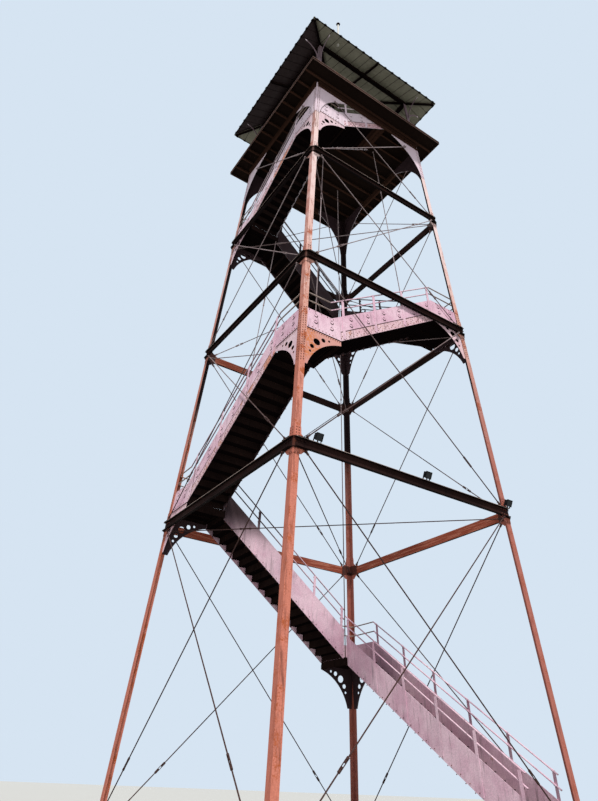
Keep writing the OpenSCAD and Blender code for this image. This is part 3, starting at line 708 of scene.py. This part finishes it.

# %% [markdown]
# ## The lap, the step angles and the rusty band
# A dark line marks the lap of the guard over the string, and it is a strip 26 mm wide. The string
# itself shows a rustier paint than the guard. The CAD has both in one plate, so a skin less than a
# millimetre thick carries the second paint. A shear, and no turn, makes it: its ends stay upright while
# its edges follow the stair. Behind each nosing an angle iron ties the tread to the riser above and closes
# the fit between them, which would glitter against the sky.

# %% Lap lines, step angles and string bands
LAP_UP, LAP_HALF, STRING_D = 0.085, 0.013, 0.205
SKIN = 0.002        # how deep these strips are sunk into the plate
TREAD_IN = PLATE_IN / math.cos(TILT)
TREAD_LONG = (STAIR_W - PLATE_T) / math.cos(TILT)
laps, bands, angles = bmesh.new(), bmesh.new(), bmesh.new()
for i in range(FLIGHTS):
    side, x0, x1 = flight_face(i), flight_start(i) + 0.01, flight_end(i) - 0.01
    low_end = on_face(side, x0, nosing(i, x0) + LAP_UP, -LEG_T)
    run, rise = x1 - x0, (nosing(i, x1) - nosing(i, x0)) / math.cos(TILT)
    along = low_end @ Matrix.Rotation(math.atan2(rise, run), 4, "Z")
    block(laps, along, (0, -LAP_HALF, -SKIN), (math.hypot(run, rise), LAP_HALF, 0.0015))
    if i:
        shear = Matrix(((1, 0, 0, 0), (rise / run, 1, 0, 0), (0, 0, 1, 0), (0, 0, 0, 1)))
        block(bands, low_end @ shear, (0, 0.004 - STRING_D - LAP_UP, -SKIN), (run, 0, 0.0008))
    for k in range(1, RISERS[i] - 1):
        x, z = flight_start(i) + k * RISER / slope(i), FLOORS[i] + k * RISER
        at = side_turn(side) @ Matrix.Translation((x, TREAD_IN - half(z), z))
        block(angles, at, (-0.0015, 0.001, -0.030), (0.005, TREAD_LONG - 0.006, 0.0012))
finished("lap_lines", laps, "side_paint", SHADOW_AND_GRIME)
finished("step_angles", angles, "dark_paint")
finished("string_bands", bands, "side_paint", STRING)

# %% [markdown]
# ## Pressed bosses
# The guard sheets have round bosses pressed into them, in pairs, which keep the thin sheet from rattling.
# A boss is a flat cone whose top is inset and pushed back, so it has a rim and a dish. Below each one a
# crescent of shadow is painted: a thin dark disc, set a little lower and to the side, that the boss covers
# but for its edge.

# %% A boss and its painted shadow
FOOT_R, TOP_R, BOSS_H, BOSS_RIM, DISH = 0.058, 0.046, 0.014, 0.012, 0.010
disc = bmesh.new()
bmesh.ops.create_cone(disc, cap_ends=True, segments=12, radius1=FOOT_R, radius2=TOP_R, depth=BOSS_H,
                      matrix=Matrix.Translation((0, 0, 0.005)))
top = [f for f in disc.faces if f.normal.z > 0.9]
bmesh.ops.inset_region(disc, faces=top, thickness=BOSS_RIM, depth=0)
bmesh.ops.translate(disc, verts=top[0].verts, vec=(0, 0, -DISH))
boss = as_mesh("boss", disc)
shadow_disc = stub("shadow_disc", 12, 0.060, 0.060, 0.0015)
print("faces of a boss:", len(boss.polygons))

# %% Bosses in pairs
SHADOW_SHIFT = 0.012
BOSS_GAP, LANDING_PAIRS = 0.55, (0.41, 0.90)
LANDING_BOSSES, FLIGHT_BOSSES = (0.245, 0.46), (0.24, 0.45)       # heights over the floor, or the nosings
bosses, marks = bmesh.new(), bmesh.new()


def add_boss(side, x, z):
    stamp(bosses, boss, on_face(side, x, z, -LEG_T))
    stamp(marks, shadow_disc, on_face(side, x + SHADOW_SHIFT, z - SHADOW_SHIFT, -LEG_T))


for j in range(1, FLIGHTS):
    for a in LANDING_PAIRS:
        for up in LANDING_BOSSES:
            for side, x in both_flanges(flight_face(j), FLOORS[j] + up, a):
                add_boss(side, x, FLOORS[j] + up)
for i in range(FLIGHTS):
    run = flight_end(i) - flight_start(i)
    pairs = round(run / BOSS_GAP)
    for k in range(pairs):
        x = flight_start(i) + (k + 0.6) * run / pairs
        for up in FLIGHT_BOSSES:
            add_boss(flight_face(i), x, nosing(i, x) + up)
finished("side_bosses", bosses, "side_paint")
finished("boss_shadows", marks, "side_paint", SHADOW_AND_GRIME)

# %% [markdown]
# ## Handrails round the landings
# The flights' two handrails carry on level round each landing, inside the leg. Each is a pipe with one
# bend at the corner. A curve with a round bevel would make it too, and would then have to become a mesh.
# Here it is two straight bars and an elbow, which is a ring of edges spun through a quarter turn. A spin
# can leave faces turned inside out, so the normals are worked out again at the end.

# %% Landing rails
RAIL_R, BEND = 0.018, 0.11
RAIL_IN = LEG_T + RAIL_R
RAIL_UP = (0.88, 1.15)
rails = bmesh.new()
for j in range(1, FLIGHTS):
    for up in RAIL_UP:
        z = FLOORS[j] + up
        line = RAIL_IN / math.cos(TILT) - half(z)
        inner = LANDING - half(FLOORS[j])
        turn = side_turn(flight_face(j))
        tube(rails, turn @ Vector((line, inner, z)), turn @ Vector((line, line + BEND, z)), RAIL_R)
        tube(rails, turn @ Vector((line + BEND, line, z)), turn @ Vector((inner - RISER / slope(j), line, z)), RAIL_R)
        across = turn @ Matrix.Translation((line, line + BEND, z)) @ Matrix.Rotation(math.pi / 2, 4, "X")
        ring = bmesh.ops.create_circle(rails, segments=8, radius=RAIL_R, matrix=across)["verts"]
        bmesh.ops.spin(rails, geom=list({e for v in ring for e in v.link_edges}), axis=(0, 0, 1),
                       cent=turn @ Vector((line + BEND, line + BEND, z)), angle=math.pi / 2, steps=5, use_merge=False)
bmesh.ops.recalc_face_normals(rails, faces=rails.faces)
finished("landing_rails", rails, "side_paint", LIP, smooth=True)

# %% [markdown]
# ## Sleeves
# A pipe rail is put together from lengths, and a short sleeve covers each joint, at a post. A sleeve is
# one more stub, wider than the pipe, laid along the flight's slope.

# %% Sleeves on the rails
POST_GAP, POST_W = 1.15, 0.08
SLEEVE_R, SLEEVE_HALF = 0.026, 0.035
sleeves = bmesh.new()
sleeve = stub("sleeve", 10, SLEEVE_R, SLEEVE_R, SLEEVE_HALF, sunk=SLEEVE_HALF)
for i in range(FLIGHTS):
    side, run = flight_face(i), flight_end(i) - flight_start(i)
    bays = round(run / POST_GAP)
    along = Matrix.Rotation(math.atan(slope(i)), 4, "Z") @ Matrix.Rotation(math.pi / 2, 4, "Y")
    for k in range(bays + 1):
        x = flight_start(i) + POST_W * 1.5 + k * (run - 3 * POST_W) / bays
        for up in RAIL_UP:
            for out in (-RAIL_IN, RAIL_R - LEG_T - STAIR_W):
                stamp(sleeves, sleeve, on_face(side, x, nosing(i, x) + up, out) @ along)
finished("rail_sleeves", sleeves, "side_paint")

# %% [markdown]
# ## Bolts on struts and beams
# The struts, their collars and the deck's beams went up on site, where riveting is hard, so these joints
# are bolted, with nuts in two rows. A six-sided stub catches the light on one flat, as a nut does.

# %% Strut bolts
BOLT_OUT = GUSSET_T + STRUT_T
SPANDREL_L, BEAM_GAP = 1.28, 0.145
BOLTS_ALONG, BOLTS_UP, BEAM_BOLTS_UP = (0.09, 0.17, 0.27), (-0.06, 0.06), (-0.07, 0.06)
nuts = bmesh.new()
for ring in RINGS:
    for leg in range(4):
        for a in BOLTS_ALONG:
            for up in BOLTS_UP:
                for side, x in both_flanges(leg, ring + up, a):
                    stamp(nuts, nut, on_face(side, x, ring + up, BOLT_OUT))
for side in range(4):
    for x in steps(0.1 - half(BEAM_Z), SPANDREL_L - 0.06 - half(BEAM_Z), BEAM_GAP):
        for up in BEAM_BOLTS_UP:
            for way in (-1, 1):
                stamp(nuts, nut, on_face(side, way * x, BEAM_Z + up, BOLT_OUT))
finished("strut_bolts", nuts, "strut_paint")

# %% [markdown]
# ## Lit lips of the struts
# From the ground, each strut ends in a thin pale line: the edge of its upper flange, where the sun catches
# it. The line is a painted highlight. A mask on the strut's own coat would need to hit 10 mm exactly at
# every height, so a strip just proud of the edge is the simpler way.

# %% Strut lips
LIP_D, LIP_PROUD = 0.010, 0.002
strips = bmesh.new()
for ring in RINGS:
    for side in range(4):
        reach, out = half(ring) - 0.02, GUSSET_T + STRUT_W
        block(strips, on_face(side, 0, ring), (-reach, STRUT_D / 2 - LIP_D, out - LIP_PROUD),
              (reach, STRUT_D / 2 + 0.001, out + LIP_PROUD))
finished("strut_lips", strips, "strut_paint", LIP)

# %% [markdown]
# ## Pins of the tie rods
# The tie rods pull the frame square. Each end is an eye on a pin through a lug, with a nut on both sides.
# The two rods of a panel cross, so one lies further out than the other, and so do its nuts.

# %% Rod pins
LUG_X, PIN_UP, PIN_HALF = 0.30, 0.05, 0.014
ROD_OUT = (0.032, 0.066)
BASE_T = 0.025
DECK_LUG, DECK_PIN_UP = 0.71, -0.4856
lows = [BASE_T + PIN_UP] + [z + STRUT_D / 2 + STRUT_T + PIN_UP + STRUT_RISE for z in RINGS]
highs = [z - STRUT_D / 2 - STRUT_T - PIN_UP for z in RINGS]
pins = [(1, half(z) - LUG_X, z) for z in lows] + [(-1, half(z) - LUG_X, z) for z in highs]
pins.append((-1, half(BEAM_Z) - DECK_LUG, BEAM_Z + DECK_PIN_UP))
nuts = bmesh.new()
for side in range(4):
    for way, x, z in pins:
        for at, out in ((way * x, ROD_OUT[0]), (-way * x, ROD_OUT[1])):
            for flip in (Matrix.Identity(4), TURN_IN):
                stamp(nuts, nut, on_face(side, at, z, out) @ flip @ Matrix.Translation((0, 0, PIN_HALF)))
finished("rod_pins", nuts, "rod_paint")

# %% [markdown]
# ## Anchors
# Four studs, cast into a pier, hold each base plate down. The CAD has the holes. A washer, a nut and the
# stud's end are stacked on each of them.

# %% Anchor studs
ANCHOR_IN, ANCHOR_HALF, WASHER_T = 0.08, 0.2, 0.005
anchors = bmesh.new()
for x in (-1, 1):
    for y in (-1, 1):
        for dx in (-ANCHOR_HALF, ANCHOR_HALF):
            for dy in (-ANCHOR_HALF, ANCHOR_HALF):
                middle = FOOT_HALF - ANCHOR_IN
                at = Matrix.Translation((x * middle + dx, y * middle + dy, BASE_T))
                stamp(anchors, washer, at)
                stamp(anchors, nut, at @ Matrix.Translation((0, 0, WASHER_T)))
                stamp(anchors, stud, at)
finished("anchor_studs", anchors, "strut_paint")

# %% [markdown]
# ## The roof's sheets
# The roof is made of long sheets with a standing seam about every 350 mm. From below, the joints are thin
# dark lines, and the seams' ends make the eave look notched. The CAD's slopes are plain, so blocks are laid
# on them in a frame of their own, with X along the eave and Y up the slope, each cut short at the hip.


# %% Standing seams and joints
EAVE_HALF, EAVE_Z, PITCH_ROOF, SHEET_T = 2.94, 24.4, math.radians(25), 0.012
SEAM_GAP, SEAM_HALF, NOTCH_HALF, JOINT_HALF = 0.35, 0.012, 0.045, 0.007


def on_roof(side):
    return side_turn(side) @ Matrix.Translation((0, -EAVE_HALF, EAVE_Z)) @ Matrix.Rotation(PITCH_ROOF, 4, "X")


seams, joints = bmesh.new(), bmesh.new()
count = int(EAVE_HALF / SEAM_GAP)
for side in range(4):
    for x in (k * SEAM_GAP for k in range(-count, count + 1)):
        run = (EAVE_HALF - abs(x)) / math.cos(PITCH_ROOF)
        if run > 0.1:
            block(seams, on_roof(side), (x - SEAM_HALF, -0.014, SHEET_T - 0.002),
                  (x + SEAM_HALF, run - 0.05, SHEET_T + 0.028))
            block(joints, on_roof(side), (x - NOTCH_HALF, -0.020, -0.022), (x + NOTCH_HALF, 0.030, SHEET_T + 0.018))
            block(joints, on_roof(side), (x - JOINT_HALF, 0.030, -0.003), (x + JOINT_HALF, run - 0.03, 0.001))
for side in range(4):
    block(joints, on_roof(side), (0.012 - EAVE_HALF, -0.008, -0.012), (EAVE_HALF - 0.012, 0.016, SHEET_T + 0.004))
finished("roof_seams", seams, "roof_metal")
finished("roof_joints", joints, "dark_paint")

# %% [markdown]
# ## Hip caps
# Where two slopes meet, rain would run between the sheets, so a round cap is bent over each hip, and a
# small cone over the point where all four meet. Bars from the corners to the peak, half sunk, do it.

# %% Caps on the hips
CAP_R = 0.042
caps = bmesh.new()
peak = EAVE_Z + EAVE_HALF * math.tan(PITCH_ROOF) + SHEET_T / math.cos(PITCH_ROOF)
for side in range(4):
    eave_corner = Vector((0.01 - EAVE_HALF, 0.01 - EAVE_HALF, EAVE_Z + 0.015))
    tube(caps, side_turn(side) @ eave_corner, (0, 0, peak), CAP_R, 10)
bmesh.ops.create_cone(caps, cap_ends=True, segments=16, radius1=0.16, radius2=0.05, depth=0.10,
                      matrix=Matrix.Translation((0, 0, peak + 0.02)))
finished("hip_caps", caps, "roof_metal")

# %% [markdown]
# ## The vent pipe's upper end
# A white pipe with a dark hood shows over the front eave. The CAD's pipe ends lower, so a thinner round
# bar is set on it here, and the hood is a collar with a flat cone on it.

# %% Upper pipe and hood
VENT_AT, VENT_R, VENT_UP = (-1.6, -2.56), 0.036, 0.86
vent_foot = EAVE_Z + (EAVE_HALF + VENT_AT[1]) * math.tan(PITCH_ROOF) + 0.49
vent_top = vent_foot + VENT_UP
pipe = bmesh.new()
tube(pipe, (*VENT_AT, vent_foot - 0.01), (*VENT_AT, vent_top), VENT_R, 16)
finished("vent_upper", pipe, "pipe_paint")
hood = bmesh.new()
bmesh.ops.create_cone(hood, cap_ends=True, segments=16, radius1=0.075, radius2=0.02, depth=0.07,
                      matrix=Matrix.Translation((*VENT_AT, vent_top + 0.045)))
tube(hood, (*VENT_AT, vent_top - 0.06), (*VENT_AT, vent_top + 0.02), VENT_R + 0.010, 16)
finished("vent_hood", hood, "dark_paint")

# %% [markdown]
# ## The deck's boards
# The deck is laid with boards that run along the front, with a gap to the next, and stop at the stair
# well. A row of copies would be too even: old boards swell and lift, so each one's height differs by a
# millimetre or so. The random numbers start from a fixed seed, and every run lays the same deck.

# %% Boards
DECK_HALF = 2.91
BOARD_W, BOARD_GAP, BOARD_T, BOARD_LIFT = 0.145, 0.006, 0.006, 0.0015
WELL_X = (0.06 - half(DECK_Z), flight_end(FLIGHTS - 1))
WELL_Y = (-half(DECK_Z) - 0.02, PLATE_IN - half(DECK_Z) + STAIR_W)
boards = bmesh.new()
random.seed(4)
edge = DECK_HALF - 0.01
count = int(2 * DECK_HALF / (BOARD_W + BOARD_GAP))
for k in range(count):
    y = (k - count / 2) * (BOARD_W + BOARD_GAP)
    at_well = y + BOARD_W > WELL_Y[0] and y < WELL_Y[1]
    for x0, x1 in [(-edge, WELL_X[0]), (WELL_X[1], edge)] if at_well else [(-edge, edge)]:
        rise = BOARD_T + random.uniform(-BOARD_LIFT, BOARD_LIFT)
        block(boards, Matrix.Translation((0, 0, DECK_Z)), (x0, y, -0.001), (x1, y + BOARD_W, rise))
finished("deck_boards", boards, "deck_board")

# %% [markdown]
# ## The deck's rim
# Two narrow pale strips give the plain dark rim two fine lines: the edge of the boards and the lip of the
# channel under them.

# %% Strips round the rim
STRIPS_Z = ((-0.012, 0.004), (-0.121, -0.112))
rim = bmesh.new()
for side in range(4):
    at = side_turn(side) @ Matrix.Translation((0, -DECK_HALF, DECK_Z))
    for z0, z1 in STRIPS_Z:
        block(rim, at, (-DECK_HALF - 0.004, -0.004, z0), (DECK_HALF - 0.0005, 0.003, z1))
finished("deck_edging", rim, "side_paint", EDGE)

# %% [markdown]
# ## The lamps
# Three floodlights stand on the front strut of the lowest ring. The CAD has their cases. Each gets a
# pane of glass, a rim round it and a bent strap from its foot to its sides. A rim could be a frame with
# its middle cut out, but four bars round the pane are simpler and leave no long thin faces.

# %% Lamp glass, rims and straps
LAMP_X = (-2.73, 0.43, 3.24)
LAMP_LEAN = math.radians(25)
PANE = ((-0.078, -0.052), (0.078, 0.090))       # lower and upper corner, seen from the front
RIM = ((-0.092, -0.065), (0.092, 0.105))
STRAP_X, STRAP_T, STRAP_Y = 0.098, 0.003, (-0.035, 0.0)


def lamp_place(x):
    """Frame of a lamp's case on the strut, or on the collar over it near a leg."""
    top = RINGS[0] + STRUT_D / 2 + STRUT_RISE
    on_collar = half(top) - abs(x) < 0.4
    foot = (x, 0.02 - half(top) - GUSSET_T - STRUT_W, top + 0.12 + (STRUT_T if on_collar else 0))
    return Matrix.Translation(foot) @ Matrix.Rotation(LAMP_LEAN, 4, "X")


glass, rims = bmesh.new(), bmesh.new()
(px0, pz0), (px1, pz1), (rx0, rz0), (rx1, rz1) = *PANE, *RIM
for x in LAMP_X:
    at = lamp_place(x)
    block(glass, at, (px0, -0.0745, pz0), (px1, -0.0715, pz1))
    for x0, x1, z0, z1 in ((rx0, px0, rz0, rz1), (px1, rx1, rz0, rz1), (px0, px1, rz0, pz0), (px0, px1, pz1, rz1)):
        block(rims, at, (x0, -0.080, z0), (x1, -0.071, z1))
    for way in (-1, 1):
        block(rims, at, (way * STRAP_X - STRAP_T, STRAP_Y[0], -0.10), (way * STRAP_X + STRAP_T, STRAP_Y[1], 0.03))
    block(rims, at, (-STRAP_X - STRAP_T, STRAP_Y[0], -0.106), (STRAP_X + STRAP_T, STRAP_Y[1], -0.10))
finished("lamp_glass", glass, "lamp_case", GLASS)
finished("lamp_rims", rims, "lamp_case")

# %% [markdown]
# ## Camera
# The camera stands low beside the front left corner and looks up, as a visitor does. Its place, turn and
# lens were fitted to the tower's own corners. A slight roll is kept, because a camera in the hand is never
# quite level. The matrix is built from three turns, in the order in which one would aim: roll, lift, turn.

# %% Camera
CAMERA_AT = Vector((-9.659, -13.362, 0.850))
HEADING, PITCH, ROLL = math.radians(32.68), math.radians(31.35), math.radians(2.17)
FOCAL_PX, LONG_SIDE_PX, SENSOR = 641.5, 801, 36
cam_data = bpy.data.cameras.new("camera")
cam_data.sensor_width = SENSOR
cam_data.lens = FOCAL_PX / LONG_SIDE_PX * SENSOR
cam_data.clip_end = 3000
camera = bpy.data.objects.new("camera", cam_data)
bpy.context.scene.collection.objects.link(camera)
aim = Matrix.Rotation(-HEADING, 4, "Z") @ Matrix.Rotation(math.pi / 2 + PITCH, 4, "X") @ Matrix.Rotation(ROLL, 4, "Z")
camera.matrix_world = Matrix.Translation(CAMERA_AT) @ aim
bpy.context.scene.camera = camera
print("camera", [round(v, 2) for v in CAMERA_AT], "lens", round(cam_data.lens, 1), "mm")

# %% [markdown]
# ## Floor
# The floor only has to be pale and catch the shadow. It is a very large disc, because from low down the
# corner of a square one would show as a bend in the horizon.

# %% Floor
FLOOR_R = 900
disc = bmesh.new()
bmesh.ops.create_circle(disc, cap_ends=True, segments=96, radius=FLOOR_R)
floor = bpy.data.objects.new("floor", as_mesh("floor", disc))
bpy.context.scene.collection.objects.link(floor)
pale_floor = Coat("floor_pale")
pale_floor.feed(pale_floor.shader, Base_Color=paint(192, 192, 188), Roughness=0.9)
floor.data.materials.append(pale_floor.mat)
floor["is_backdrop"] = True
print("floor radius", FLOOR_R, "m")

# %% [markdown]
# ## Sky
# The world does two jobs. It lights the shaded sides softly, at a low strength, and it is the pale blue
# that the camera sees behind the tower. One strength can't do both, so Light Path tells them apart: rays
# from the camera, from a gloss or through a clear thing get the backdrop, and all others the soft light.

# %% World
world = bpy.data.worlds.new("studio")
world.use_nodes = True
bpy.context.scene.world = world
SKY_LIGHT = 0.43
sky = Nodes(world.node_tree)
soft = sky.feed(sky.tree.nodes["Background"], Color=paint(226, 232, 240), Strength=SKY_LIGHT)
backdrop = sky.feed(sky.node("Background"), Color=paint(214, 228, 242))
ray = sky.node("LightPath").outputs
seen = sky.maths("MAXIMUM", ray["Is Camera Ray"], ray["Is Glossy Ray"])
seen = sky.maths("MAXIMUM", seen, ray["Is Transmission Ray"])
choose = sky.feed(sky.node("MixShader"), Fac=seen, i1=soft.outputs[0], i2=backdrop.outputs[0])
sky.feed(sky.tree.nodes["World Output"], Surface=choose.outputs[0])
print("sky light", SKY_LIGHT)

# %% [markdown]
# ## Sun
# One high sun, more from the front than from the left, lights the two near faces, and the front one more.
# The undersides stay dark, and the deck shades the tower's top. The disc is far wider than the real
# sun's, so the edges of shadows are soft. An area lamp would do as well, but it would have to be
# huge to light 26 m of tower evenly. The Standard view shows colours about as they were written.

# %% Sun and view
SUN_FROM = Vector((-0.24, -0.49, 1.0))
sun_data = bpy.data.lights.new("sun", "SUN")
sun_data.energy = 3.6
sun_data.angle = math.radians(6)
sun_data.color = (1.0, 0.97, 0.93)
sun = bpy.data.objects.new("sun", sun_data)
sun.matrix_world = SUN_FROM.to_track_quat("Z", "Y").to_matrix().to_4x4()
bpy.context.scene.collection.objects.link(sun)
bpy.context.scene.view_settings.view_transform = "Standard"
print("sun", round(90 - math.degrees(SUN_FROM.angle(Vector((0, 0, 1))))), "degrees high")

# %% [markdown]
# ## Sizes
# The dressed tower's box is measured, without the floor.

# %% Sizes
low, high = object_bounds()
